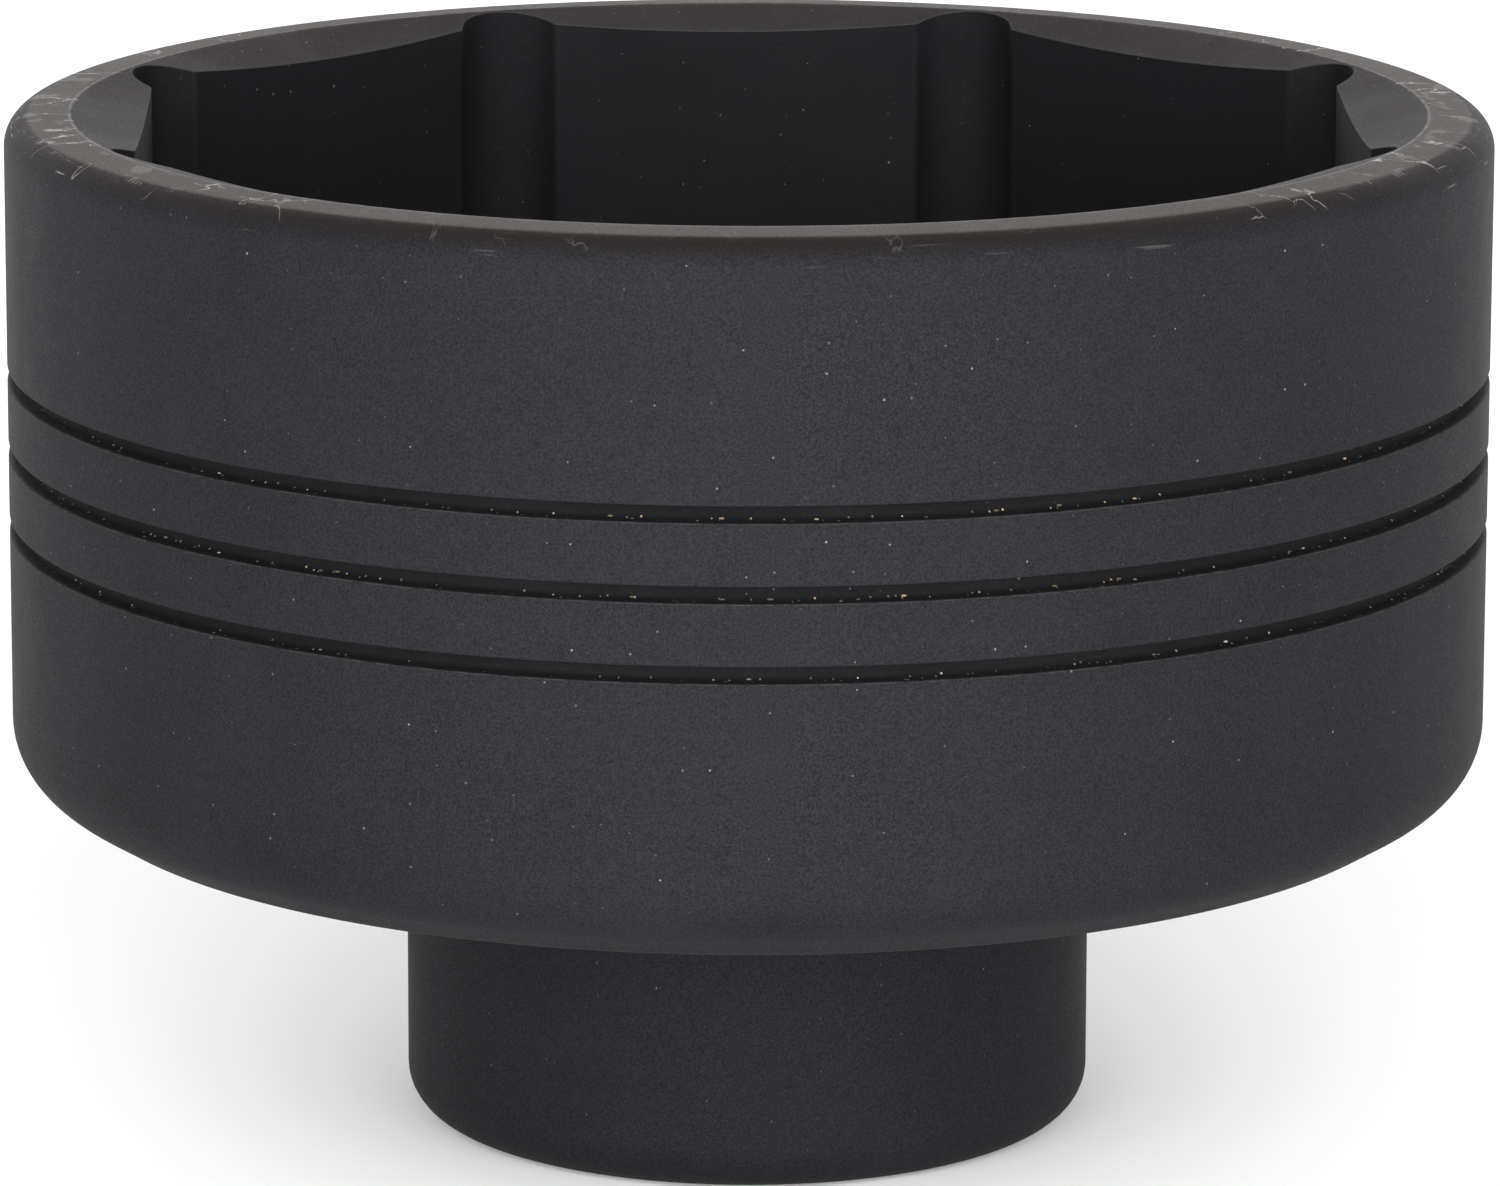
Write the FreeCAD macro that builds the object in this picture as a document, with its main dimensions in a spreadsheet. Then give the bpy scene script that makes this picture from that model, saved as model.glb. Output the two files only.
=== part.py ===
"""Octagon cap wrench: an eight-sided steel cup on a drive hub with a one-inch square.

Millimetres. +Z is the tool's axis and points out of the cup's mouth. The origin is the centre
of the drive face, on which the tool also stands. Two flats of the octagon face along Y.
"""
import FreeCAD, Part
import os
import Sketcher

DIMENSIONS = {
    # cup, outside
    "cup_radius": 58.5,
    "floor_underside": 26.0,
    "shoulder_width": 6.0,
    "shoulder_height": 3.6,
    "shoulder_rounding": 6.0,
    "underside_rounding": 3.0,
    "rim_height": 81.2,
    "ridge_radius": 53.3,
    "land_drop": 0.25,
    "rim_rounding": 2.35,
    # three turned grooves
    "groove_top": 61.4,
    "groove_pitch": 6.0,
    "groove_width": 1.3,
    "groove_depth": 1.6,
    # opening for the octagon cap
    "across_flats": 95.2,
    "lead_in_angle": 15.0,
    "relief_radius": 4.3,
    "relief_centre": 48.7,
    "cup_floor": 40.0,
    # drive hub
    "hub_radius": 27.25,
    "hub_fillet": 3.8,
    "spigot_radius": 23.0,
    "square_size": 25.6,
    "square_depth": 30.0,
    "square_chamfer": 1.2,
    "centre_hole_radius": 10.0,
    "detent_radius": 3.6,
    "detent_depth": 2.6,
    "detent_height": 15.0,
    # weld beads between cup and hub
    "outer_leg": 4.0,
    "outer_bevel": 2.5,
    "inner_leg": 2.4,
    "bead_crown": 0.5,
}
OCTAGON_SIDES = 8
GROOVES = 3
SQUARE_SIDES = 4
CUT_OVERRUN = 1.0
TOLERANCE = 1e-4

doc = FreeCAD.newDocument("octagon_cap_wrench")


def make_sheet():
    sheet = doc.addObject("Spreadsheet::Sheet", "dims")
    for row, (alias, size) in enumerate(DIMENSIONS.items(), start=1):
        sheet.set(f"A{row}", alias)
        sheet.set(f"B{row}", str(size))
        sheet.setAlias(f"B{row}", alias)
    doc.recompute()
    return sheet


dims = make_sheet()


def value(formula):
    """A sheet formula's present value."""
    return float(dims.evalExpression(formula))


def origin_feature(body, role):
    """One of the body's own origin planes or axes, such as XZ_Plane or Z_Axis."""
    return next(f for f in body.Origin.OriginFeatures if f.Role == role)


def new_body(name):
    body = doc.addObject("PartDesign::Body", name)
    body.Label = name
    body.Placement = FreeCAD.Placement()
    return body


def new_sketch(body, name, role, offset=None):
    """A sketch on one of the body's origin planes, lifted along its normal by a formula."""
    sketch = body.newObject("Sketcher::SketchObject", name)
    sketch.AttachmentSupport = [(origin_feature(body, role), "")]
    sketch.MapMode = "FlatFace"
    if offset:
        sketch.setExpression("AttachmentOffset.Base.z", offset)
    return sketch


def place_point(sketch, geometry, point, name, x, y):
    """Bind one point's distances from the sketch's origin to two formulas."""
    for kind, formula, axis in (("DistanceX", x, -2), ("DistanceY", y, -1)):
        if formula == "0":
            sketch.addConstraint(Sketcher.Constraint("PointOnObject", geometry, point, axis))
            continue
        label = f"{name}_{kind[-1].lower()}"
        constraint = Sketcher.Constraint(kind, -1, 1, geometry, point, value(formula))
        sketch.renameConstraint(sketch.addConstraint(constraint), label)
        sketch.setExpression(f"Constraints.{label}", formula)


def add_outline(sketch, corners):
    """A closed outline through corners given as (name, x formula, y formula)."""
    places = [FreeCAD.Vector(value(x), value(y), 0) for _, x, y in corners]
    count = len(corners)
    for i in range(count):
        sketch.addGeometry(Part.LineSegment(places[i], places[(i + 1) % count]), False)
    for i in range(count):
        following = (i + 1) % count
        sketch.addConstraint(Sketcher.Constraint("Coincident", i, 2, following, 1))
    for i, (name, x, y) in enumerate(corners):
        place_point(sketch, i, 1, name, x, y)


def add_circle(sketch, name, radius, x="0", y="0"):
    centre = FreeCAD.Vector(value(x), value(y), 0)
    upward = FreeCAD.Vector(0, 0, 1)
    circle = sketch.addGeometry(Part.Circle(centre, upward, value(radius)), False)
    place_point(sketch, circle, 3, name, x, y)
    index = sketch.addConstraint(Sketcher.Constraint("Radius", circle, value(radius)))
    sketch.renameConstraint(index, f"{name}_radius")
    sketch.setExpression(f"Constraints.{name}_radius", radius)


def revolve(body, name, corners, kind="PartDesign::Revolution"):
    """Turn a half section about the tool's axis, adding to the body or cutting into it."""
    sketch = new_sketch(body, f"{name}_section", "XZ_Plane")
    add_outline(sketch, corners)
    feature = body.newObject(kind, name)
    feature.Profile = sketch
    feature.ReferenceAxis = (sketch, ["V_Axis"])
    feature.Angle = 360
    sketch.Visibility = False
    doc.recompute()
    return feature


def pocket(body, name, sketch, upward=True, depth=None, symmetric=False):
    """Cut a sketch into the body, through everything unless a depth formula is given."""
    before = body.Shape.Volume
    feature = body.newObject("PartDesign::Pocket", name)
    feature.Profile = sketch
    feature.Reversed = upward
    if depth:
        feature.Type = "Length"
        feature.setExpression("Length", depth)
    else:
        feature.Type = "ThroughAll"
    if symmetric:
        feature.SideType = "Symmetric"
    sketch.Visibility = False
    doc.recompute()
    check_cut(body, name, before)
    return feature


def polar_pattern(body, name, feature, angle, count):
    """Repeat a cut round the tool's axis."""
    before = body.Shape.Volume
    pattern = body.newObject("PartDesign::PolarPattern", name)
    pattern.Originals = [feature]
    pattern.Axis = (origin_feature(body, "Z_Axis"), [""])
    pattern.Angle = angle
    pattern.Occurrences = count
    body.Tip = pattern
    doc.recompute()
    check_cut(body, name, before)


def check_cut(body, name, before):
    removed = before - body.Shape.Volume
    print(f"{body.Label}: {name} removes {removed:.1f} mm3")
    if removed <= TOLERANCE:
        raise RuntimeError(f"{name} cuts nothing")


def circle_edges(body, radius, height):
    """Names of the body's circular edges about the tool's axis at this radius and height."""
    return [
        f"Edge{i}"
        for i, edge in enumerate(body.Shape.Edges, start=1)
        if isinstance(edge.Curve, Part.Circle)
        and abs(edge.Curve.Radius - value(radius)) < TOLERANCE
        and abs(edge.Curve.Center.z - value(height)) < TOLERANCE
        and abs(edge.Curve.Center.x) + abs(edge.Curve.Center.y) < TOLERANCE
    ]


def square_mouth_edges(body):
    """Names of the straight edges of the drive square in the drive face."""
    return [
        f"Edge{i}"
        for i, edge in enumerate(body.Shape.Edges, start=1)
        if isinstance(edge.Curve, Part.Line)
        and abs(edge.Length - value("dims.square_size")) < TOLERANCE
        and all(abs(vertex.Z) < TOLERANCE for vertex in edge.Vertexes)
    ]


def dress_edges(body, kind, name, edges, size):
    """Round edges with PartDesign::Fillet or bevel them with PartDesign::Chamfer."""
    if not edges:
        raise RuntimeError(f"{name} finds no edges")
    base = body.Tip
    feature = body.newObject(kind, name)
    feature.Base = (base, edges)
    feature.setExpression("Radius" if kind.endswith("Fillet") else "Size", size)
    doc.recompute()


def regular_corners(sides, apothem):
    """Corners of a regular polygon with a flat square to +X."""
    half = 180 / sides
    reach = f"{apothem} / cos({half})"
    angles = [half + i * 2 * half for i in range(sides)]
    return [
        (f"corner_{i}", f"{reach} * cos({angle})", f"{reach} * sin({angle})")
        for i, angle in enumerate(angles)
    ]


def make_cup():
    body = new_body("octagon_cup")
    rim_edge = "dims.rim_height - dims.land_drop"
    shoulder_top = "dims.floor_underside + dims.shoulder_height"
    shoulder_foot = "dims.cup_radius - dims.shoulder_width"
    revolve(body, "cup_blank", [
        ("centre", "0", "dims.floor_underside"),
        ("shoulder_foot", shoulder_foot, "dims.floor_underside"),
        ("shoulder_top", "dims.cup_radius", shoulder_top),
        ("rim_edge", "dims.cup_radius", rim_edge),
        ("ridge", "dims.ridge_radius", "dims.rim_height"),
        ("cone_tip", "0", "dims.rim_height - dims.ridge_radius * tan(dims.lead_in_angle)"),
    ])
    for name, radius, height, size in (
        ("shoulder_round", "dims.cup_radius", shoulder_top, "dims.shoulder_rounding"),
        ("underside_round", shoulder_foot, "dims.floor_underside", "dims.underside_rounding"),
        ("rim_round", "dims.cup_radius", rim_edge, "dims.rim_rounding"),
    ):
        dress_edges(body, "PartDesign::Fillet", name, circle_edges(body, radius, height), size)
    cut_octagon(body)
    cut_reliefs(body)
    cut_spigot_bore(body)
    cut_grooves(body)
    return body


def cut_octagon(body):
    sketch = new_sketch(body, "octagon_outline", "XY_Plane", "dims.cup_floor")
    add_outline(sketch, regular_corners(OCTAGON_SIDES, "dims.across_flats / 2"))
    pocket(body, "octagon_opening", sketch)


def cut_reliefs(body):
    """Round channels that clear the corners of the cap."""
    half = 180 / OCTAGON_SIDES
    sketch = new_sketch(body, "relief_outline", "XY_Plane", "dims.cup_floor")
    add_circle(sketch, "relief", "dims.relief_radius",
               f"dims.relief_centre * cos({half})", f"dims.relief_centre * sin({half})")
    relief = pocket(body, "corner_relief", sketch)
    polar_pattern(body, "corner_reliefs", relief, 360, OCTAGON_SIDES)


def cut_spigot_bore(body):
    sketch = new_sketch(body, "spigot_bore_outline", "XY_Plane", "dims.cup_floor")
    add_circle(sketch, "bore", "dims.spigot_radius")
    pocket(body, "spigot_bore", sketch, upward=False)
    edge = circle_edges(body, "dims.spigot_radius", "dims.cup_floor")
    dress_edges(body, "PartDesign::Chamfer", "inner_weld_bevel", edge, "dims.inner_leg")


def cut_grooves(body):
    before = body.Shape.Volume
    inside = "dims.cup_radius - dims.groove_depth"
    outside = f"dims.cup_radius + {CUT_OVERRUN}"
    bottom = "dims.groove_top - dims.groove_width"
    groove = revolve(body, "groove", [
        ("bottom_in", inside, bottom),
        ("bottom_out", outside, bottom),
        ("top_out", outside, "dims.groove_top"),
        ("top_in", inside, "dims.groove_top"),
    ], kind="PartDesign::Groove")
    check_cut(body, "groove", before)
    before = body.Shape.Volume
    pattern = body.newObject("PartDesign::LinearPattern", "grooves")
    pattern.Originals = [groove]
    pattern.Direction = (origin_feature(body, "Z_Axis"), [""])
    pattern.Reversed = True
    pattern.setExpression("Length", f"dims.groove_pitch * {GROOVES - 1}")
    pattern.Occurrences = GROOVES
    body.Tip = pattern
    doc.recompute()
    check_cut(body, "grooves", before)


def make_hub():
    body = new_body("drive_hub")
    revolve(body, "hub_blank", [
        ("centre", "0", "0"),
        ("drive_face", "dims.hub_radius", "0"),
        ("collar", "dims.hub_radius", "dims.floor_underside - dims.outer_leg"),
        ("weld_bevel", "dims.hub_radius - dims.outer_bevel", "dims.floor_underside"),
        ("spigot_root", "dims.spigot_radius", "dims.floor_underside"),
        ("spigot_top", "dims.spigot_radius", "dims.cup_floor"),
        ("top_centre", "0", "dims.cup_floor"),
    ])
    foot = circle_edges(body, "dims.hub_radius", "0")
    dress_edges(body, "PartDesign::Fillet", "foot_round", foot, "dims.hub_fillet")
    top = circle_edges(body, "dims.spigot_radius", "dims.cup_floor")
    dress_edges(body, "PartDesign::Chamfer", "inner_weld_bevel_hub", top, "dims.inner_leg")
    cut_drive_square(body)
    cut_centre_hole(body)
    cut_detents(body)
    return body


def cut_drive_square(body):
    sketch = new_sketch(body, "square_outline", "XY_Plane")
    half = "dims.square_size / 2"
    add_outline(sketch, [
        ("corner_0", half, half),
        ("corner_1", f"-{half}", half),
        ("corner_2", f"-{half}", f"-{half}"),
        ("corner_3", half, f"-{half}"),
    ])
    pocket(body, "drive_square", sketch, depth="dims.square_depth")
    mouth = square_mouth_edges(body)
    dress_edges(body, "PartDesign::Chamfer", "square_mouth", mouth, "dims.square_chamfer")


def cut_centre_hole(body):
    sketch = new_sketch(body, "centre_hole_outline", "XY_Plane", "dims.square_depth")
    add_circle(sketch, "hole", "dims.centre_hole_radius")
    pocket(body, "centre_hole", sketch)


def cut_detents(body):
    """Round recesses in the square's four sides, which the driver's ball springs into."""
    sketch = new_sketch(body, "detent_outline", "YZ_Plane")
    add_circle(sketch, "detent", "dims.detent_radius", "0", "dims.detent_height")
    depth = "dims.square_size + 2 * dims.detent_depth"
    detent = pocket(body, "detent_pair", sketch, depth=depth, symmetric=True)
    polar_pattern(body, "detents", detent, 360 / SQUARE_SIDES, 2)


def make_outer_weld():
    """A bead that fills the hub's bevel and the corner between the hub and the cup's floor."""
    body = new_body("outer_weld")
    root = "dims.floor_underside"
    revolve(body, "outer_bead", [
        ("root", "dims.hub_radius - dims.outer_bevel", root),
        ("toe_hub", "dims.hub_radius", f"{root} - dims.outer_leg"),
        ("crown", "dims.hub_radius + dims.outer_leg / 2 + dims.bead_crown",
         f"{root} - dims.outer_leg / 2 - dims.bead_crown"),
        ("toe_cup", "dims.hub_radius + dims.outer_leg", root),
    ])
    return body


def make_inner_weld():
    """A groove bead round the spigot's top, level with the cup's floor."""
    body = new_body("inner_weld")
    revolve(body, "inner_bead", [
        ("root", "dims.spigot_radius", "dims.cup_floor - dims.inner_leg"),
        ("toe_cup", "dims.spigot_radius + dims.inner_leg", "dims.cup_floor"),
        ("crown", "dims.spigot_radius", "dims.cup_floor + dims.bead_crown"),
        ("toe_hub", "dims.spigot_radius - dims.inner_leg", "dims.cup_floor"),
    ])
    return body


def check_document(parts):
    doc.recompute()
    for thing in doc.Objects:
        if "Invalid" in thing.State or "Error" in thing.State:
            raise RuntimeError(f"{thing.Name} failed: {thing.State}")
    for part in parts:
        if part.Shape.isNull() or not part.Shape.isValid():
            raise RuntimeError(f"{part.Label} has no valid shape")


def write_steps(parts):
    os.makedirs("parts", exist_ok=True)
    for part in parts:
        part.Shape.exportStep(f"parts/{part.Label}.step")
        box = part.Shape.BoundBox
        print(f"{part.Label}: {part.Shape.Volume:.0f} mm3, {len(part.Shape.Solids)} solid, "
              f"z {box.ZMin:.2f} to {box.ZMax:.2f}")


all_parts = [make_cup(), make_hub(), make_outer_weld(), make_inner_weld()]
check_document(all_parts)
write_steps(all_parts)
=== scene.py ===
"""Octagon cap wrench in matt blackened steel: its finished surfaces, light and camera.

Metres, in the CAD frame: +Z points out of the cup's mouth and the drive face is at Z = 0.
"""
import math

import bmesh
import bpy
from mathutils import Matrix, Vector


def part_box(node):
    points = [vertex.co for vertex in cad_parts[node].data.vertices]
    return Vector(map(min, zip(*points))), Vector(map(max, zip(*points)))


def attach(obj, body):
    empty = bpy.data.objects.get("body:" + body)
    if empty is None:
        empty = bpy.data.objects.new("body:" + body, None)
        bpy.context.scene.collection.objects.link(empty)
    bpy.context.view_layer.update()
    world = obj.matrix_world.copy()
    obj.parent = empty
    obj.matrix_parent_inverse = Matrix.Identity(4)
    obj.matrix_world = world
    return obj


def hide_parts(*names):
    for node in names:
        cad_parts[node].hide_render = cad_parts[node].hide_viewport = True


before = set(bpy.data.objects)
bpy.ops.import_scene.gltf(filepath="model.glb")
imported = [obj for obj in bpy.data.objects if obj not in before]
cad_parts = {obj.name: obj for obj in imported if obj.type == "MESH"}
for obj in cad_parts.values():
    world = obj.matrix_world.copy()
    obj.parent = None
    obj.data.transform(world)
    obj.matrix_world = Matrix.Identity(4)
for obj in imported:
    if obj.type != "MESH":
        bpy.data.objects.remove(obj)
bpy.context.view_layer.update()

CUP_LOW, CUP_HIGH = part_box("octagon_cup")
HUB_LOW, HUB_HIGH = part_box("drive_hub")
BEAD_LOW, BEAD_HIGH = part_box("outer_weld")
INNER_BEAD_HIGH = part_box("inner_weld")[1]

MM = 0.001
BODY = "root"

# cup, outside
CUP_RADIUS = min(CUP_HIGH.x, CUP_HIGH.y, -CUP_LOW.x, -CUP_LOW.y)
UNDERSIDE = CUP_LOW.z
RIM_TOP = CUP_HIGH.z
RIDGE_RADIUS = 53.3 * MM
LAND_DROP = 0.25 * MM
RIM_ROUNDING = 2.35 * MM
SHOULDER_WIDTH = 6.0 * MM
SHOULDER_HEIGHT = 3.6 * MM
SHOULDER_ROUNDING = 6.0 * MM
UNDERSIDE_ROUNDING = 3.0 * MM

# turned grooves
GROOVES = 3
GROOVE_TOP = 61.4 * MM
GROOVE_PITCH = 6.0 * MM
GROOVE_WIDTH = 1.3 * MM
GROOVE_DEPTH = 1.6 * MM
GROOVE_LIP = 0.12 * MM
GROOVE_CORNER = 0.5 * MM

# opening
SIDES = 8
APOTHEM = 47.6 * MM
LEAD_IN_SLOPE = math.tan(math.radians(15))
RELIEF_RADIUS = 4.3 * MM
RELIEF_CENTRE = 48.7 * MM
RELIEF_LIP = 0.8 * MM
MOUTH_BREAK = 0.12 * MM
CUP_FLOOR = HUB_HIGH.z
FLOOR_CORNER = 1.2 * MM

# hub
HUB_RADIUS = HUB_HIGH.y
HUB_ROUNDING = 3.8 * MM
SPIGOT_RADIUS = 23.0 * MM
INNER_BEVEL = INNER_BEAD_HIGH.y - SPIGOT_RADIUS
OUTER_BEVEL = 2.5 * MM
SQUARE_HALF = 12.8 * MM
SQUARE_DEPTH = 30.0 * MM
SQUARE_CHAMFER = 1.2 * MM
SQUARE_CORNER = 0.4 * MM
CENTRE_HOLE = 10.0 * MM
DETENT_RADIUS = 3.6 * MM
DETENT_DEPTH = 2.6 * MM
DETENT_HEIGHT = 15.0 * MM

# weld beads
BEAD_LEG = BEAD_HIGH.y - HUB_RADIUS
BEAD_BULGE = 0.45 * MM
BEAD_RIPPLE = 0.2 * MM
BEAD_RIPPLES = 74


# ---------------------------------------------------------------- mesh building

SHARP_BEND = math.radians(40)


def direction(angle):
    return Vector((math.cos(angle), math.sin(angle)))


def arc(x, z, radius, start, end, steps):
    """Points of a circular arc in a half section, angles in degrees from +X."""
    angles = [math.radians(start + (end - start) * i / steps) for i in range(steps + 1)]
    return [(x + radius * math.cos(a), z + radius * math.sin(a)) for a in angles]


def line(x0, z0, x1, z1, steps):
    """Points along a straight stretch, both of its ends left out."""
    return [
        (x0 + (x1 - x0) * i / steps, z0 + (z1 - z0) * i / steps)
        for i in range(1, steps)
    ]


def ring(radius, height, angles):
    return [Vector((radius * math.cos(a), radius * math.sin(a), height)) for a in angles]


def loft(name, rings):
    """A closed skin through rings of points, whose last ring joins the first."""
    count = len(rings[0])
    vertices = [point for points in rings for point in points]
    faces = []
    for i in range(len(rings)):
        here = i * count
        there = (i + 1) % len(rings) * count
        for k in range(count):
            following = (k + 1) % count
            faces.append((here + k, here + following, there + following, there + k))
    mesh = bpy.data.meshes.new(name)
    mesh.from_pydata(vertices, [], faces)
    face_outward(mesh)
    piece = bpy.data.objects.new(name, mesh)
    bpy.context.scene.collection.objects.link(piece)
    return piece


def face_outward(mesh):
    work = bmesh.new()
    work.from_mesh(mesh)
    bmesh.ops.recalc_face_normals(work, faces=work.faces)
    work.to_mesh(mesh)
    work.free()


def finish_piece(piece, node, material):
    """Smooth shading with crisp corners, then the finish and the piece's place in the frame."""
    piece.data.shade_smooth()
    piece.data.set_sharp_from_angle(angle=SHARP_BEND)
    modifier = piece.modifiers.new("even shading", "WEIGHTED_NORMAL")
    modifier.weight = 100
    modifier.keep_sharp = True
    piece.data.materials.append(material)
    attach(piece, BODY)
    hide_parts(node)


# ---------------------------------------------------------------- cup

FLAT_STEPS = 56
LIP_STEPS = 6
RELIEF_STEPS = 28
HALF_SIDE = math.pi / SIDES


def relief_join():
    """How far along a flat its rounded lip to the relief starts, and how far that lip turns."""
    centre = RELIEF_CENTRE * direction(HALF_SIDE)
    gap_out = APOTHEM + RELIEF_LIP - centre.x
    gap_along = math.sqrt((RELIEF_RADIUS + RELIEF_LIP) ** 2 - gap_out ** 2)
    return centre.y - gap_along, math.atan2(gap_along, gap_out)


def opening_outline():
    """Points round the opening, each as (place, direction into the steel, outer azimuth)."""
    reach, turn = relief_join()
    points = []
    for side in range(SIDES):
        facing = 2 * HALF_SIDE * side
        out = direction(facing)
        along = out.orthogonal()
        for i in range(FLAT_STEPS):
            step = reach * (2 * i / FLAT_STEPS - 1)
            azimuth = facing + math.atan2(step, APOTHEM)
            points.append((out * APOTHEM + along * step, out, azimuth))
        points += corner_outline(facing + HALF_SIDE, reach, turn)
    return points


def lip_outline(corner, side, reach, turn):
    """The rounded lip between a flat and a relief, from the flat towards the relief."""
    facing = corner + side * HALF_SIDE
    out = direction(facing)
    centre = out * (APOTHEM + RELIEF_LIP) - out.orthogonal() * side * reach
    points = []
    for i in range(LIP_STEPS + 1):
        heading = direction(facing + math.pi + side * turn * i / LIP_STEPS)
        points.append((centre + heading * RELIEF_LIP, -heading))
    return points


def corner_outline(corner, reach, turn):
    """One corner relief with its two rounded lips, in order of increasing azimuth."""
    centre = RELIEF_CENTRE * direction(corner)
    half_sweep = HALF_SIDE + turn
    points = lip_outline(corner, -1, reach, turn)[:-1]
    for i in range(RELIEF_STEPS):
        heading = direction(corner + half_sweep * (2 * i / RELIEF_STEPS - 1))
        points.append((centre + heading * RELIEF_RADIUS, heading))
    points += lip_outline(corner, 1, reach, turn)[:0:-1]
    spread = HALF_SIDE - math.atan2(reach, APOTHEM)
    count = len(points)
    return [
        (place, heading, corner + spread * (2 * i / count - 1))
        for i, (place, heading) in enumerate(points)
    ]


def rim_section():
    """From the ridge outwards: the slightly sloping land, then the rounded edge."""
    slope = math.atan2(LAND_DROP, CUP_RADIUS - RIDGE_RADIUS)
    cut = RIM_ROUNDING * math.tan((math.pi / 2 - slope) / 2)
    round_z = RIM_TOP - LAND_DROP - cut
    turns = arc(CUP_RADIUS - RIM_ROUNDING, round_z, RIM_ROUNDING, 90 - math.degrees(slope), 0, 14)
    points = [(RIDGE_RADIUS, RIM_TOP)]
    points += line(RIDGE_RADIUS, RIM_TOP, *turns[0], 4)
    return points + turns


def groove_section(top):
    """A groove's lips, walls and round-cornered bottom, going down the outside."""
    bottom = top - GROOVE_WIDTH
    lip_x = CUP_RADIUS - GROOVE_LIP
    corner_x = CUP_RADIUS - GROOVE_DEPTH + GROOVE_CORNER
    points = arc(lip_x, top + GROOVE_LIP, GROOVE_LIP, 0, -90, 4)
    points += line(lip_x, top, corner_x, top, 3)
    points += arc(corner_x, top - GROOVE_CORNER, GROOVE_CORNER, 90, 180, 5)
    points += arc(corner_x, bottom + GROOVE_CORNER, GROOVE_CORNER, 180, 270, 5)
    points += line(corner_x, bottom, lip_x, bottom, 3)
    points += arc(lip_x, bottom - GROOVE_LIP, GROOVE_LIP, 90, 0, 4)
    return points


def shoulder_section():
    """The bevel between wall and underside, rounded where it meets each of them."""
    lean = math.atan2(SHOULDER_WIDTH, SHOULDER_HEIGHT)
    upper_cut = SHOULDER_ROUNDING * math.tan(lean / 2)
    upper_z = UNDERSIDE + SHOULDER_HEIGHT + upper_cut
    lower_cut = UNDERSIDE_ROUNDING * math.tan((math.pi / 2 - lean) / 2)
    lower_x = CUP_RADIUS - SHOULDER_WIDTH - lower_cut
    middle = -math.degrees(lean)
    upper = arc(CUP_RADIUS - SHOULDER_ROUNDING, upper_z, SHOULDER_ROUNDING, 0, middle, 14)
    lower = arc(lower_x, UNDERSIDE + UNDERSIDE_ROUNDING, UNDERSIDE_ROUNDING, middle, -90, 8)
    return upper + line(*upper[-1], *lower[0], 3) + lower


def cup_outside():
    """The outer half section from the ridge down to the hub's bore and up through it."""
    points = rim_section()
    for i in range(GROOVES):
        section = groove_section(GROOVE_TOP - i * GROOVE_PITCH)
        points += line(*points[-1], *section[0], 8)
        points += section
    shoulder = shoulder_section()
    points += line(*points[-1], *shoulder[0], 8)
    points += shoulder
    points += line(*points[-1], SPIGOT_RADIUS, UNDERSIDE, 8)
    points += [(SPIGOT_RADIUS, UNDERSIDE), (SPIGOT_RADIUS, CUP_FLOOR - INNER_BEVEL)]
    points += [(SPIGOT_RADIUS + INNER_BEVEL, CUP_FLOOR)]
    return points


def on_cone(place):
    """The point of the conical lead-in over a place in the plan."""
    height = RIM_TOP - (RIDGE_RADIUS - place.length) * LEAD_IN_SLOPE
    return Vector((place.x, place.y, height))


def lifted(place, height):
    return Vector((place.x, place.y, height))


def cup_inside(outline):
    """Rings over the cup's floor, up its walls, over the mouth's edge and up the lead-in."""
    rings = []
    feet = [place - out * FLOOR_CORNER for place, out, _ in outline]
    bores = [direction(azimuth) * (SPIGOT_RADIUS + INNER_BEVEL) for _, _, azimuth in outline]
    for step in range(1, 8):
        rings.append([lifted(b.lerp(f, step / 8), CUP_FLOOR) for b, f in zip(bores, feet)])
    for reach, rise in arc(0, FLOOR_CORNER, FLOOR_CORNER, -90, 0, 6):
        rings.append([
            lifted(foot + out * reach, CUP_FLOOR + rise)
            for foot, (_, out, _) in zip(feet, outline)
        ])
    brinks = [on_cone(place + out * MOUTH_BREAK) for place, out, _ in outline]
    wall_foot = CUP_FLOOR + FLOOR_CORNER
    for step in range(1, 12):
        rings.append([
            lifted(place, wall_foot + (brink.z - MOUTH_BREAK - wall_foot) * step / 12)
            for (place, _, _), brink in zip(outline, brinks)
        ])
    for reach, rise in arc(MOUTH_BREAK, -MOUTH_BREAK, MOUTH_BREAK, 180, 90, 4):
        rings.append([
            lifted(place + out * reach, brink.z + rise)
            for (place, out, _), brink in zip(outline, brinks)
        ])
    for step in range(1, 8):
        rings.append([
            on_cone(brink.to_2d().lerp(direction(azimuth) * RIDGE_RADIUS, step / 8))
            for brink, (_, _, azimuth) in zip(brinks, outline)
        ])
    return rings


def make_cup():
    outline = opening_outline()
    azimuths = [azimuth for _, _, azimuth in outline]
    rings = [ring(x, z, azimuths) for x, z in cup_outside()]
    return loft("cup_body", rings + cup_inside(outline))


# ---------------------------------------------------------------- hub

SQUARE_SIDE_STEPS = 28
SQUARE_CORNER_STEPS = 4
DETENT_SIDES = 64


def square_outline(half, corner):
    """Points round a square with rounded corners, the same number for every size."""
    points = []
    for side in range(4):
        facing = side * math.pi / 2
        out = direction(facing)
        along = out.orthogonal()
        for i in range(SQUARE_SIDE_STEPS):
            step = (half - corner) * (2 * i / SQUARE_SIDE_STEPS - 1)
            points.append(out * half + along * step)
        centre = (out + along) * (half - corner)
        for i in range(SQUARE_CORNER_STEPS):
            turn = math.pi / 2 * i / SQUARE_CORNER_STEPS
            points.append(centre + direction(facing + turn) * corner)
    return points


def square_ring(half, corner, height):
    return [lifted(place, height) for place in square_outline(half, corner)]


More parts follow.
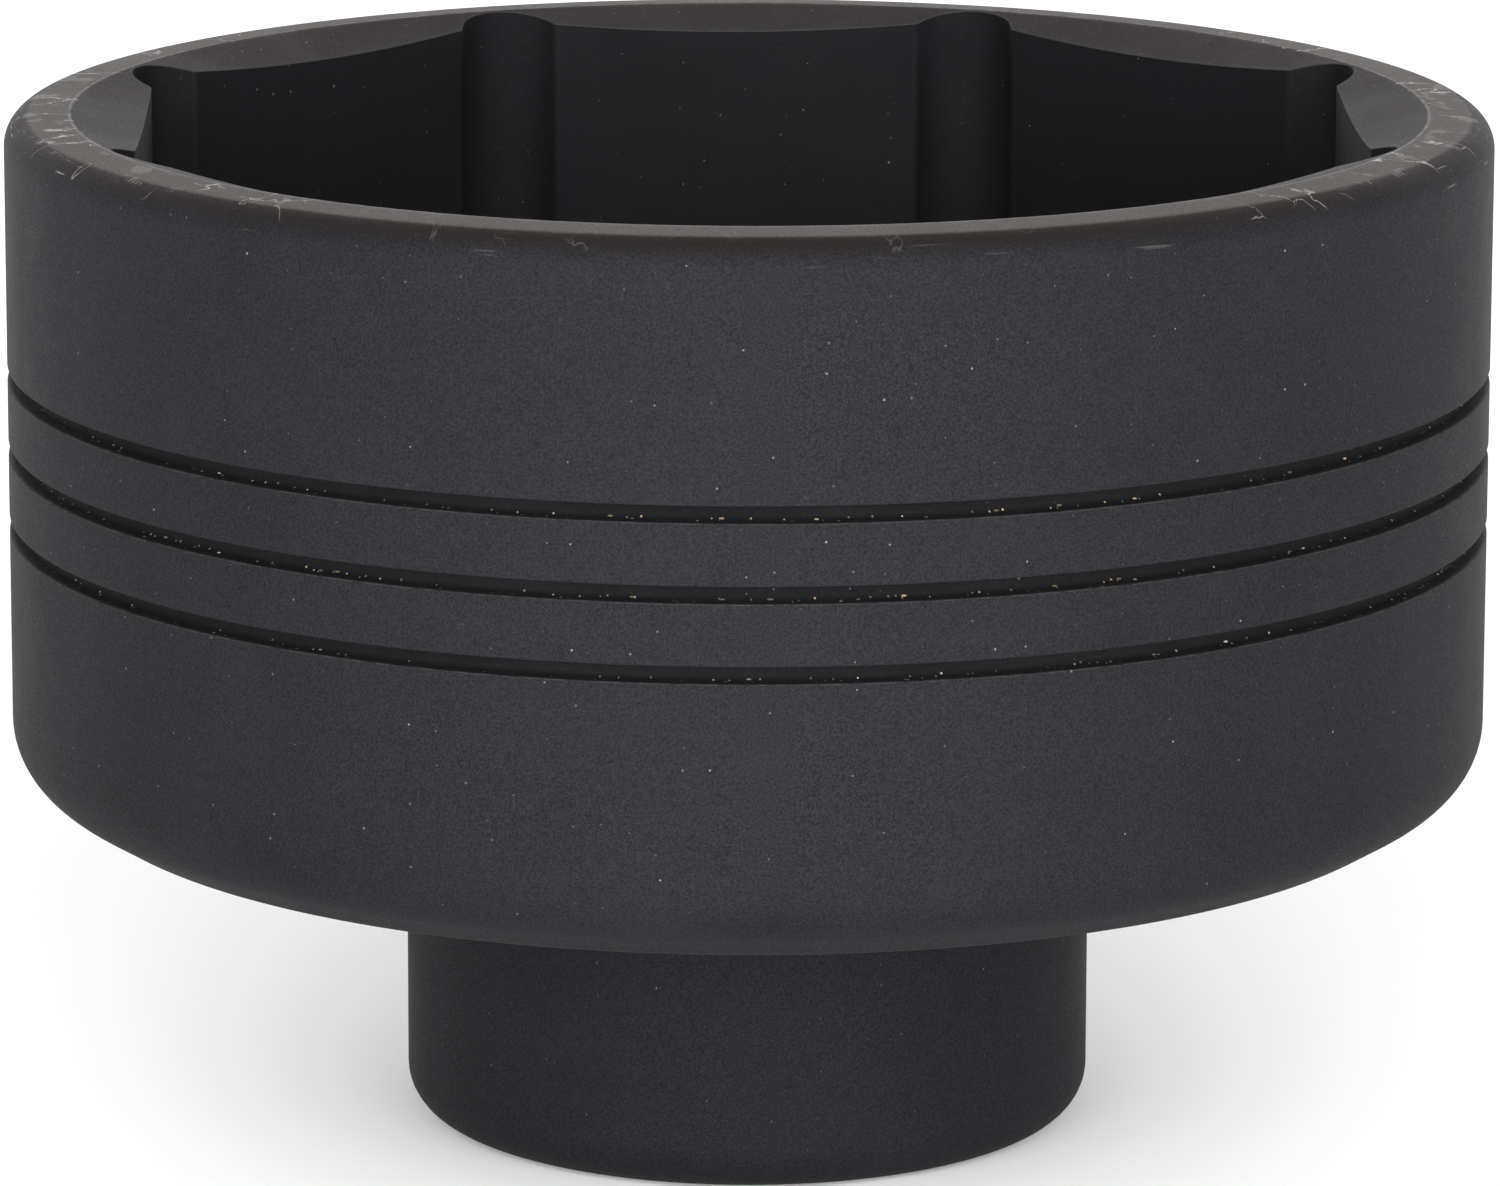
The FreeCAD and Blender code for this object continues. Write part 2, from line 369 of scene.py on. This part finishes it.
def hub_outside():
    """The outer half section from the drive face up and in to the centre hole's lower end."""
    bead_toe = UNDERSIDE - BEAD_LEG
    points = arc(HUB_RADIUS - HUB_ROUNDING, HUB_ROUNDING, HUB_ROUNDING, -90, 0, 16)
    points += line(HUB_RADIUS, HUB_ROUNDING, HUB_RADIUS, bead_toe, 8)
    points += [(HUB_RADIUS, bead_toe), (HUB_RADIUS - OUTER_BEVEL, UNDERSIDE)]
    points += [(SPIGOT_RADIUS, UNDERSIDE), (SPIGOT_RADIUS, CUP_FLOOR - INNER_BEVEL)]
    points += [(SPIGOT_RADIUS - INNER_BEVEL, CUP_FLOOR)]
    points += line(SPIGOT_RADIUS - INNER_BEVEL, CUP_FLOOR, CENTRE_HOLE, CUP_FLOOR, 6)
    points += [(CENTRE_HOLE, CUP_FLOOR), (CENTRE_HOLE, SQUARE_DEPTH)]
    return points


def make_hub():
    azimuths = [math.atan2(p.y, p.x) for p in square_outline(SQUARE_HALF, SQUARE_CORNER)]
    rings = [ring(x, z, azimuths) for x, z in hub_outside()]
    for share in (1.0, 0.75, 0.5, 0.25):
        rings.append(square_ring(SQUARE_HALF, SQUARE_CORNER, SQUARE_DEPTH * share))
    rings.append(square_ring(SQUARE_HALF, SQUARE_CORNER, SQUARE_CHAMFER))
    mouth = SQUARE_HALF + SQUARE_CHAMFER
    rings.append(square_ring(mouth, SQUARE_CORNER + SQUARE_CHAMFER, 0))
    hub = loft("hub_body", rings)
    for turn in (0, math.pi / 2):
        cut_detent_pair(hub, turn)
    return hub


def cut_detent_pair(hub, turn):
    """Recesses for the driver's spring ball in two opposite sides of the square."""
    cutter_mesh = bpy.data.meshes.new("detent_cutter")
    work = bmesh.new()
    turned = Matrix.Rotation(turn, 4, "Z") @ Matrix.Rotation(math.pi / 2, 4, "X")
    bmesh.ops.create_cone(
        work, cap_ends=True, segments=DETENT_SIDES,
        radius1=DETENT_RADIUS, radius2=DETENT_RADIUS,
        depth=2 * (SQUARE_HALF + DETENT_DEPTH),
        matrix=Matrix.Translation((0, 0, DETENT_HEIGHT)) @ turned,
    )
    work.to_mesh(cutter_mesh)
    work.free()
    cutter = bpy.data.objects.new("detent_cutter", cutter_mesh)
    bpy.context.scene.collection.objects.link(cutter)
    modifier = hub.modifiers.new("detents", "BOOLEAN")
    modifier.object = cutter
    modifier.operation = "DIFFERENCE"
    modifier.solver = "EXACT"
    with bpy.context.temp_override(object=hub):
        bpy.ops.object.modifier_apply(modifier=modifier.name)
    bpy.data.objects.remove(cutter)


# ---------------------------------------------------------------- weld beads

BEAD_STEPS_ROUND = 888
BEAD_STEPS_ACROSS = 10
RIPPLE_DRIFT = 0.35
RIPPLE_DRIFTS_ROUND = 3
RIPPLE_ROUNDNESS = 0.6


def ripple(angle):
    """Height of the overlapping weld ripples, from 0 to 1, unevenly spaced."""
    drift = RIPPLE_DRIFT * math.sin(RIPPLE_DRIFTS_ROUND * angle)
    phase = angle * BEAD_RIPPLES / (2 * math.pi) + drift
    return abs(math.sin(math.pi * phase)) ** RIPPLE_ROUNDNESS


def make_bead(name, root, toes):
    """A rippled ring whose section has a root, two toes and a bulging face between them."""
    (x0, z0), (x1, z1) = toes
    rings = [[] for _ in range(BEAD_STEPS_ACROSS + 2)]
    for k in range(BEAD_STEPS_ROUND):
        angle = 2 * math.pi * k / BEAD_STEPS_ROUND
        bulge = BEAD_BULGE - BEAD_RIPPLE * (1 - ripple(angle))
        section = [root]
        for i in range(BEAD_STEPS_ACROSS + 1):
            share = i / BEAD_STEPS_ACROSS
            face = Vector((x0 + (x1 - x0) * share, z0 + (z1 - z0) * share))
            outward = (face - Vector(root)).normalized()
            section.append(face + outward * bulge * math.sin(math.pi * share))
        for points, (x, z) in zip(rings, section):
            points.append(Vector((x * math.cos(angle), x * math.sin(angle), z)))
    return loft(name, rings)


def make_outer_bead():
    root = (HUB_RADIUS - OUTER_BEVEL, UNDERSIDE)
    toes = [(HUB_RADIUS, UNDERSIDE - BEAD_LEG), (HUB_RADIUS + BEAD_LEG, UNDERSIDE)]
    return make_bead("outer_bead", root, toes)


def make_inner_bead():
    root = (SPIGOT_RADIUS, CUP_FLOOR - INNER_BEVEL)
    toes = [(SPIGOT_RADIUS - INNER_BEVEL, CUP_FLOOR), (SPIGOT_RADIUS + INNER_BEVEL, CUP_FLOOR)]
    return make_bead("inner_bead", root, toes)


# ---------------------------------------------------------------- materials

class Nodes:
    """A material's node tree, with short calls for the nodes used here."""

    def __init__(self, tree):
        self.tree = tree
        self.tree.nodes.clear()

    def add(self, kind, **settings):
        node = self.tree.nodes.new(kind)
        for key, setting in settings.items():
            setattr(node, key, setting)
        return node

    def feed(self, source, target):
        """Give a socket another socket's output or a plain value."""
        if isinstance(source, bpy.types.NodeSocket):
            self.tree.links.new(source, target)
        else:
            target.default_value = source

    def math(self, operation, a, b=0.0):
        node = self.add("ShaderNodeMath", operation=operation)
        self.feed(a, node.inputs[0])
        self.feed(b, node.inputs[1])
        return node.outputs[0]

    def product(self, *factors):
        result = factors[0]
        for factor in factors[1:]:
            result = self.math("MULTIPLY", result, factor)
        return result

    def largest(self, *values):
        result = values[0]
        for other in values[1:]:
            result = self.math("MAXIMUM", result, other)
        return result

    def ramp(self, source, low, high, out_low=0.0, out_high=1.0):
        """Carry a value smoothly from one range to another."""
        node = self.add("ShaderNodeMapRange", interpolation_type="SMOOTHSTEP")
        self.feed(source, node.inputs["Value"])
        self.feed(low, node.inputs["From Min"])
        self.feed(high, node.inputs["From Max"])
        self.feed(out_low, node.inputs["To Min"])
        self.feed(out_high, node.inputs["To Max"])
        return node.outputs["Result"]

    def band(self, source, low, high, soft):
        """1 between two values, falling to 0 over a soft edge on either side."""
        rise = self.ramp(source, low - soft, low)
        fall = self.ramp(source, high, high + soft, 1.0, 0.0)
        return self.product(rise, fall)

    def mix(self, factor, a, b):
        node = self.add("ShaderNodeMix", data_type="RGBA")
        self.feed(factor, node.inputs["Factor"])
        self.feed(a, node.inputs[6])
        self.feed(b, node.inputs[7])
        return node.outputs[2]

    def blend_values(self, factor, a, b):
        node = self.add("ShaderNodeMix", data_type="FLOAT")
        self.feed(factor, node.inputs["Factor"])
        self.feed(a, node.inputs[2])
        self.feed(b, node.inputs[3])
        return node.outputs[0]

    def parts(self, vector):
        node = self.add("ShaderNodeSeparateXYZ")
        self.feed(vector, node.inputs[0])
        return node.outputs

    def vector_math(self, operation, a, b):
        node = self.add("ShaderNodeVectorMath", operation=operation)
        self.feed(a, node.inputs[0])
        self.feed(b, node.inputs[1])
        return node.outputs[0]

    def noise(self, vector, cell, detail=3.0, roughness=0.5, output="Fac"):
        """Noise whose features are about one cell long."""
        node = self.add("ShaderNodeTexNoise")
        self.feed(vector, node.inputs["Vector"])
        self.feed(1 / cell, node.inputs["Scale"])
        self.feed(detail, node.inputs["Detail"])
        self.feed(roughness, node.inputs["Roughness"])
        return node.outputs[output]

    def voronoi(self, vector, cell, feature="F1", dimensions="3D"):
        node = self.add("ShaderNodeTexVoronoi", feature=feature, voronoi_dimensions=dimensions)
        self.feed(vector, node.inputs["Vector"])
        self.feed(1 / cell, node.inputs["Scale"])
        return node.outputs

    def bump(self, height, strength, distance, normal=None):
        node = self.add("ShaderNodeBump")
        self.feed(height, node.inputs["Height"])
        self.feed(strength, node.inputs["Strength"])
        self.feed(distance, node.inputs["Distance"])
        if normal:
            self.feed(normal, node.inputs["Normal"])
        return node.outputs[0]


def specks(n, vector, cell, largest, share, dimensions="2D"):
    """Scattered round dots, faint and bright, up to the largest radius in a share of the cells."""
    cells = n.voronoi(vector, cell, dimensions=dimensions)
    chance, size, strength = n.parts(cells["Color"])
    radius = n.product(size, largest / cell)
    dot = n.ramp(n.math("SUBTRACT", cells["Distance"], radius), -0.3 * largest / cell, 0.0, 1.0, 0.0)
    chosen = n.math("LESS_THAN", chance, share)
    return n.product(dot, chosen, n.ramp(strength, 0.3, 1.0, 0.25, 1.0))


def hairlines(n, vector, cell, width, sparseness):
    """Broken, branching scratches along the warped borders of random cells."""
    warp = n.noise(vector, cell * 0.6, detail=3.0, output="Color")
    moved = n.vector_math("ADD", vector, n.vector_math("MULTIPLY", warp, (cell,) * 3))
    edge = n.voronoi(moved, cell, "DISTANCE_TO_EDGE")["Distance"]
    thin = n.ramp(edge, 0.2 * width / cell, width / cell, 1.0, 0.0)
    patches = n.ramp(n.noise(vector, cell * 1.3, detail=1.0), sparseness, sparseness + 0.05)
    return n.product(thin, patches)


def combine(n, x, y):
    node = n.add("ShaderNodeCombineXYZ")
    n.feed(x, node.inputs[0])
    n.feed(y, node.inputs[1])
    return node.outputs[0]


# colours are linear RGBA
COAT_DARK = (0.0014, 0.0013, 0.0016, 1)
COAT_LIGHT = (0.0072, 0.0067, 0.0083, 1)
# painted shade: the darker colour given to the inside of the cup
INSIDE_SHADE = (0.0009, 0.0008, 0.0010, 1)
COAT_SHEEN = (0.97, 0.93, 1.0, 1)
# a brownish coat: on the rim's upward faces partly rubbed coat and partly painted light, on the
# welds the colour of the spatter
BROWNISH_COAT = (0.0070, 0.0056, 0.0053, 1)
# pale land: partly worn coat, partly a painted highlight on the upward face
LAND_WEAR_AND_HIGHLIGHT = (0.050, 0.043, 0.041, 1)
RUBBED_SHEEN = (1.0, 0.90, 0.87, 1)
# bare worn steel, also used for the painted highlight on the groove lips
WORN_STEEL_AND_HIGHLIGHT = (0.24, 0.23, 0.22, 1)
# a darker colour for the grooves' walls and bottoms
GROOVE_DARK_COLOUR = (0.0025, 0.0023, 0.0026, 1)
DUST = (0.34, 0.27, 0.18, 1)
PALE_SPECK = (0.13, 0.13, 0.13, 1)
WELD_COAT = (0.009, 0.0085, 0.009, 1)

COAT_ROUGHNESS = 0.8
COAT_GLOSS = 0.18
WORN_ROUGHNESS = 0.45

# sizes of the finish's features
GRAIN_CELL = 0.17 * MM
GRAIN_HEIGHT = 0.03 * MM
MOTTLE_CELL = 9 * MM
WAVE_CELL = 14 * MM
WAVE_HEIGHT = 0.2 * MM
BREAKUP_CELL = 1.1 * MM
SCRATCH_CELL = 4.2 * MM
SCRATCH_WIDTH = 0.065 * MM
SCRATCH_DEPTH = 0.03 * MM
STREAK_CELL = 0.55 * MM
STREAK_PATCH = 9 * MM
TICK_PITCH = 0.52 * MM
TICK_SHARE = 0.24
TICK_PATCH = 3.2 * MM
DUST_CELL = 0.6 * MM
DUST_GRAIN = 0.10 * MM
DUST_FIBRE = 0.09 * MM
FLECK_CELL = 2.1 * MM
FLECK_SIZE = 0.11 * MM
FLECK_SHARE = 0.3
WELD_SCALE_CELL = 1.4 * MM
SPATTER_CELL = 1.9 * MM
SPATTER_SIZE = 0.4 * MM

# how strongly each kind of wear shows, and the painted highlight on the groove lips and the painted
# shade inside the cup
CRACK_STRENGTH = 0.85
STREAK_STRENGTH = 0.55
TICK_STRENGTH = 0.6
RIDGE_WEAR = 0.25
MOUTH_WEAR = 0.08
# strength of the painted highlight on the groove lips
GROOVE_LIP_HIGHLIGHT = 0.08
FLECK_STRENGTH = 0.8
# strength of the painted shade inside the cup
INSIDE_SHADE_STRENGTH = 0.8
WORN_METALLIC = 0.2

# where the finish changes
MID_HEIGHT = (UNDERSIDE + RIM_TOP) / 2
LOWEST_GROOVE = GROOVE_TOP - (GROOVES - 1) * GROOVE_PITCH - GROOVE_WIDTH


def rim_scratches(n, azimuth, run, rise):
    """Bare hairlines, streaks and chatter ticks over the land and the rounded rim.

    Azimuth is 0 at the front, run is the distance round the rim and rise the distance up the
    wall and then inwards over the land, 0 where the two would meet in a sharp corner.
    """
    turned = n.math("ABSOLUTE", azimuth)
    sides = n.product(
        n.ramp(turned, math.radians(22), math.radians(62), 0.1, 1.0),
        n.ramp(turned, math.radians(112), math.radians(150), 1.0, 0.15),
    )
    over_rim = n.band(rise, -0.4 * MM, 5.1 * MM, 0.6 * MM)
    radial = combine(n, run, n.product(rise, 0.42))
    cracks = n.product(
        hairlines(n, radial, SCRATCH_CELL, SCRATCH_WIDTH, 0.51), over_rim, CRACK_STRENGTH,
    )
    along = combine(n, n.product(run, 0.07), rise)
    flat = combine(n, run, rise)
    streaks = n.product(
        n.ramp(n.noise(along, STREAK_CELL, detail=2.0), 0.64, 0.70),
        n.ramp(n.noise(flat, STREAK_PATCH, detail=1.0), 0.5, 0.58),
        n.band(rise, -1.8 * MM, 1.4 * MM, 0.6 * MM),
    )
    tick_phase = n.math("FRACT", n.product(run, 1 / TICK_PITCH))
    ticks = n.product(
        n.math("LESS_THAN", tick_phase, TICK_SHARE),
        n.ramp(n.noise(flat, TICK_PATCH, detail=2.0), 0.56, 0.62),
        n.band(rise, 1.2 * MM, 4.4 * MM, 0.5 * MM),
        n.band(turned, math.radians(55), math.radians(105), math.radians(8)),
    )
    marks = n.largest(
        cracks,
        n.product(streaks, STREAK_STRENGTH),
        n.product(ticks, TICK_STRENGTH),
    )
    return n.product(marks, sides)


def groove_dust(n, run, radius, z):
    """Pale grains and tan fibres that lie along the lower side of the grooves."""
    settled = n.math("ADD", z, n.product(n.math("SUBTRACT", CUP_RADIUS, radius), 0.22))
    depth = n.math("SUBTRACT", GROOVE_TOP, z)
    below_top = n.math("MODULO", depth, GROOVE_PITCH)
    lower = n.ramp(below_top, 0.62 * GROOVE_WIDTH, 0.85 * GROOVE_WIDTH)
    flat = combine(n, run, settled)
    fibres = combine(n, n.product(run, 0.35), settled)
    return n.product(lower, n.largest(
        specks(n, flat, DUST_CELL, DUST_GRAIN, 0.6),
        specks(n, fibres, DUST_CELL, DUST_FIBRE, 0.3),
    ))


def coat_colour(n, radius, z, tone, rubbed_and_lit, upward):
    """The black coat, darkest inside the cup from painted shade, rubbed brown near the rim with
    painted light on the upward faces there, and palest on the land, partly worn coat and partly a
    painted highlight.
    """
    coat = n.mix(n.ramp(tone, 0.36, 0.64), COAT_DARK, COAT_LIGHT)
    # painted shade: the inside of the cup is coloured darker
    inside = n.product(
        n.ramp(radius, RIDGE_RADIUS - 0.2 * MM, RIDGE_RADIUS, 1.0, 0.0),
        n.math("GREATER_THAN", z, CUP_FLOOR - MM),
    )
    coat = n.mix(n.product(inside, INSIDE_SHADE_STRENGTH), coat, INSIDE_SHADE)
    # rubbed brown coat, with painted light on the upward faces near the rim
    rubbing_and_light = n.product(rubbed_and_lit, n.ramp(tone, 0.3, 0.7, 0.55, 1.0))
    # the land: partly worn coat, partly a painted highlight on the upward face
    land = n.product(
        n.math("GREATER_THAN", z, RIM_TOP - MM),
        n.ramp(upward, 0.95, 0.995),
        n.ramp(radius, RIDGE_RADIUS - 0.1 * MM, RIDGE_RADIUS + 0.1 * MM),
        n.ramp(tone, 0.35, 0.65, 0.7, 1.0),
    )
    return n.mix(land, n.mix(rubbing_and_light, coat, BROWNISH_COAT), LAND_WEAR_AND_HIGHLIGHT)


def groove_mask(n, radius, z):
    """1 on the walls and bottoms of the turned grooves."""
    return n.product(
        n.ramp(radius, CUP_RADIUS - 0.5 * MM, CUP_RADIUS - 0.12 * MM, 1.0, 0.0),
        n.math("GREATER_THAN", radius, CUP_RADIUS - GROOVE_DEPTH - 0.2 * MM),
        n.band(z, LOWEST_GROOVE - 0.05 * MM, GROOVE_TOP + 0.05 * MM, 0.01 * MM),
    )


def edge_wear_and_lip_highlight(n, place, radius, z, upward):
    """Bare metal on the ridge and the mouth's edge, and a painted highlight on the upward-facing
    lower lips of the grooves.
    """
    patches = n.noise(place, BREAKUP_CELL, detail=4.0, roughness=0.7)
    breakup = n.ramp(patches, 0.36, 0.6, 0.3, 1.0)
    ridge = n.product(
        n.band(radius, RIDGE_RADIUS - 0.06 * MM, RIDGE_RADIUS + 0.1 * MM, 0.1 * MM),
        n.math("GREATER_THAN", z, RIM_TOP - 0.3 * MM),
        breakup,
    )
    mouth_edge = n.product(
        n.band(upward, 0.2, 0.85, 0.1),
        n.math("LESS_THAN", radius, RIDGE_RADIUS),
        n.math("GREATER_THAN", z, RIM_TOP - 8 * MM),
    )
    # painted highlight: the upward-facing lower lips of the grooves are coloured as bare steel
    groove_lip_highlight = n.product(
        n.band(z, LOWEST_GROOVE - 0.3 * MM, GROOVE_TOP, 0.05 * MM),
        n.ramp(upward, 0.2, 0.7),
        n.math("GREATER_THAN", radius, CUP_RADIUS - 0.3 * MM),
        breakup,
    )
    return n.largest(
        n.product(ridge, RIDGE_WEAR),
        n.product(mouth_edge, MOUTH_WEAR),
        n.product(groove_lip_highlight, GROOVE_LIP_HIGHLIGHT),
    )


def pale_flecks(n, run, radius, z):
    """Small pale dots all over, on a map that runs outwards below mid height, inwards above."""
    fold = n.blend_values(n.math("GREATER_THAN", z, MID_HEIGHT), -1.0, 1.0)
    inwards = n.math("SUBTRACT", CUP_RADIUS, radius)
    unrolled = n.math("ADD", z, n.product(fold, inwards))
    flecks = specks(n, combine(n, run, unrolled), FLECK_CELL, FLECK_SIZE, FLECK_SHARE)
    return n.product(flecks, FLECK_STRENGTH)


def make_steel():
    """Blackened steel: a fine dark coat with painted shade inside the cup, rubbed brown on top with
    painted light on the upward faces, and worn pale along the rim with painted highlights on the
    land and the groove lips.
    """
    material = bpy.data.materials.new("blackened_steel")
    material.use_nodes = True
    n = Nodes(material.node_tree)
    place = n.add("ShaderNodeTexCoord").outputs["Object"]
    x, y, z = n.parts(place)
    radius = n.math("SQRT", n.math("ADD", n.product(x, x), n.product(y, y)))
    azimuth = n.math("ARCTAN2", x, n.product(y, -1.0))
    run = n.product(azimuth, CUP_RADIUS)
    rise = n.math("ADD", n.math("SUBTRACT", z, RIM_TOP), n.math("SUBTRACT", CUP_RADIUS, radius))
    upward = n.parts(n.add("ShaderNodeNewGeometry").outputs["Normal"])[2]

    fine = n.noise(place, GRAIN_CELL, detail=2.0, roughness=0.7)
    mottle = n.noise(place, MOTTLE_CELL, detail=5.0, roughness=0.6)
    tone = n.math("ADD", n.product(fine, 0.7), n.product(mottle, 0.3))
    near_rim = n.ramp(z, RIM_TOP - 16 * MM, RIM_TOP - 2 * MM)
    # painted light: upward faces near the rim are coloured lighter brown, partly rubbed coat and
    # partly painted light from above
    rubbed_and_lit = n.product(n.ramp(upward, 0.35, 0.9), near_rim)
    in_grooves = groove_mask(n, radius, z)
    on_rim = n.math("GREATER_THAN", radius, RIDGE_RADIUS - 0.3 * MM)
    scratches = n.product(rim_scratches(n, azimuth, run, rise), on_rim)
    # wear and the painted highlight on the groove lips, both coloured as bare steel
    wear_and_lip_highlight = n.largest(scratches, edge_wear_and_lip_highlight(n, place, radius, z, upward))

    colour = coat_colour(n, radius, z, tone, rubbed_and_lit, upward)
    # the grooves' walls and bottoms are coloured darker than the coat
    colour = n.mix(in_grooves, colour, GROOVE_DARK_COLOUR)
    colour = n.mix(wear_and_lip_highlight, colour, WORN_STEEL_AND_HIGHLIGHT)
    colour = n.mix(pale_flecks(n, run, radius, z), colour, PALE_SPECK)
    colour = n.mix(n.product(in_grooves, groove_dust(n, run, radius, z)), colour, DUST)

    rough = n.math("ADD", n.ramp(mottle, 0.3, 0.7, -0.04, 0.04), COAT_ROUGHNESS)
    rough = n.math("ADD", n.ramp(fine, 0.32, 0.68, 0.07, -0.07), rough)
    rough = n.blend_values(wear_and_lip_highlight, rough, WORN_ROUGHNESS)
    normal = n.bump(n.noise(place, WAVE_CELL, detail=2.0), 0.2, WAVE_HEIGHT)
    normal = n.bump(fine, 0.3, GRAIN_HEIGHT, normal)
    normal = n.bump(n.product(scratches, -1.0), 0.4, SCRATCH_DEPTH, normal)

    shader = n.add("ShaderNodeBsdfPrincipled")
    n.feed(colour, shader.inputs["Base Color"])
    n.feed(n.product(wear_and_lip_highlight, WORN_METALLIC), shader.inputs["Metallic"])
    n.feed(rough, shader.inputs["Roughness"])
    n.feed(n.mix(rubbed_and_lit, COAT_SHEEN, RUBBED_SHEEN), shader.inputs["Specular Tint"])
    n.feed(COAT_GLOSS, shader.inputs["Specular IOR Level"])
    n.feed(normal, shader.inputs["Normal"])
    output = n.add("ShaderNodeOutputMaterial")
    n.feed(shader.outputs[0], output.inputs["Surface"])
    return material


def make_weld_steel():
    """Weld metal under the same dark coat, a little smoother, with fine scale and spatter."""
    material = bpy.data.materials.new("weld_steel")
    material.use_nodes = True
    n = Nodes(material.node_tree)
    place = n.add("ShaderNodeTexCoord").outputs["Object"]
    scale = n.noise(place, WELD_SCALE_CELL, detail=5.0, roughness=0.65)
    shader = n.add("ShaderNodeBsdfPrincipled")
    tone = n.mix(n.ramp(scale, 0.35, 0.7), COAT_DARK, WELD_COAT)
    spatter = specks(n, place, SPATTER_CELL, SPATTER_SIZE, 0.4, dimensions="3D")
    n.feed(n.mix(n.product(spatter, 0.5), tone, BROWNISH_COAT), shader.inputs["Base Color"])
    n.feed(n.ramp(scale, 0.3, 0.7, 0.38, 0.55), shader.inputs["Roughness"])
    n.feed(COAT_GLOSS, shader.inputs["Specular IOR Level"])
    n.feed(n.bump(scale, 0.5, 0.12 * MM), shader.inputs["Normal"])
    output = n.add("ShaderNodeOutputMaterial")
    n.feed(shader.outputs[0], output.inputs["Surface"])
    return material


# ---------------------------------------------------------------- stage, light, camera

FLOOR_SIZE = 12.0
FLOOR_GAP = 0.05 * MM
FLOOR_COLOUR = (0.8, 0.8, 0.8, 1)
FRONT_GLOW = 2.8
SIDE_GLOW = 1.15
REAR_GLOW = 0.1
GLOW_FRONT_END = -0.14
GLOW_REAR_END = -0.04
GLOW_SIDE_START = 0.12
GLOW_SIDE_FULL = 0.24
FRONT_WALL_LOW = 13.2
FRONT_WALL_HIGH = 7.5
REAR_WALL = 4.2
SIDE_WALLS = 0.08
CEILING = 0.32
LOW_WALL_END = 0.15
HIGH_WALL_START = 0.45
WALL_END = 0.6
CEILING_START = 0.85

OCTAGON_TURN = math.radians(1.35)
CAMERA_DISTANCE = 689.43 * MM
CAMERA_HEIGHT = 195.5 * MM
CAMERA_PITCH = math.radians(12.555)
CAMERA_ROLL = math.radians(0.14)
CAMERA_YAW = math.radians(0.0123)
CAMERA_LENS = 212.93


def make_floor():
    """A pale floor that glows brightest in front, less at the sides and least behind."""
    mesh = bpy.data.meshes.new("floor")
    half = FLOOR_SIZE / 2
    height = -FLOOR_GAP
    corners = [(-half, -half, height), (half, -half, height),
               (half, half, height), (-half, half, height)]
    mesh.from_pydata(corners, [], [(0, 1, 2, 3)])
    floor = bpy.data.objects.new("floor", mesh)
    bpy.context.scene.collection.objects.link(floor)
    material = bpy.data.materials.new("pale_floor")
    material.use_nodes = True
    n = Nodes(material.node_tree)
    x, y, _ = n.parts(n.add("ShaderNodeTexCoord").outputs["Object"])
    aside = n.ramp(n.math("ABSOLUTE", x), GLOW_SIDE_START, GLOW_SIDE_FULL)
    ahead = n.ramp(y, GLOW_FRONT_END, GLOW_REAR_END, FRONT_GLOW, REAR_GLOW)
    shader = n.add("ShaderNodeBsdfPrincipled")
    n.feed(FLOOR_COLOUR, shader.inputs["Base Color"])
    n.feed(1.0, shader.inputs["Roughness"])
    n.feed((1, 1, 1, 1), shader.inputs["Emission Color"])
    n.feed(n.blend_values(aside, ahead, SIDE_GLOW), shader.inputs["Emission Strength"])
    output = n.add("ShaderNodeOutputMaterial")
    n.feed(shader.outputs[0], output.inputs["Surface"])
    mesh.materials.append(material)


def make_world():
    """A studio with big soft lights before and behind the tool, dim at the sides and above."""
    world = bpy.data.worlds.new("studio")
    world.use_nodes = True
    n = Nodes(world.node_tree)
    x, y, z = n.parts(n.add("ShaderNodeTexCoord").outputs["Generated"])
    level = n.math("ADD", n.product(x, x), n.product(y, y))
    sideways = n.math("DIVIDE", n.product(x, x), n.math("MAXIMUM", level, 1e-6))
    front = n.ramp(z, LOW_WALL_END, HIGH_WALL_START, FRONT_WALL_LOW, FRONT_WALL_HIGH)
    ends = n.blend_values(n.math("GREATER_THAN", y, 0.0), front, REAR_WALL)
    walls = n.blend_values(sideways, ends, SIDE_WALLS)
    overhead = n.ramp(z, WALL_END, CEILING_START)
    background = n.add("ShaderNodeBackground")
    n.feed(n.blend_values(overhead, walls, CEILING), background.inputs["Strength"])
    output = n.add("ShaderNodeOutputWorld")
    n.feed(background.outputs[0], output.inputs["Surface"])
    bpy.context.scene.world = world


def make_camera():
    camera = bpy.data.cameras.new("camera")
    camera.sensor_fit = "HORIZONTAL"
    camera.sensor_width = 36
    camera.lens = CAMERA_LENS
    camera.clip_start = 0.01
    camera.clip_end = 100
    stand = bpy.data.objects.new("camera", camera)
    bpy.context.scene.collection.objects.link(stand)
    facing = Matrix.Rotation(-OCTAGON_TURN - CAMERA_YAW, 4, "Z")
    tilt = Matrix.Rotation(math.pi / 2 - CAMERA_PITCH, 4, "X")
    roll = Matrix.Rotation(CAMERA_ROLL, 4, "Z")
    place = Matrix.Translation((
        -CAMERA_DISTANCE * math.sin(OCTAGON_TURN),
        -CAMERA_DISTANCE * math.cos(OCTAGON_TURN),
        CAMERA_HEIGHT,
    ))
    stand.matrix_world = place @ facing @ tilt @ roll
    bpy.context.scene.camera = stand


steel = make_steel()
weld_steel = make_weld_steel()
finish_piece(make_cup(), "octagon_cup", steel)
finish_piece(make_hub(), "drive_hub", steel)
finish_piece(make_outer_bead(), "outer_weld", weld_steel)
finish_piece(make_inner_bead(), "inner_weld", weld_steel)
make_floor()
make_world()
make_camera()
bpy.context.scene.view_settings.view_transform = "Standard"
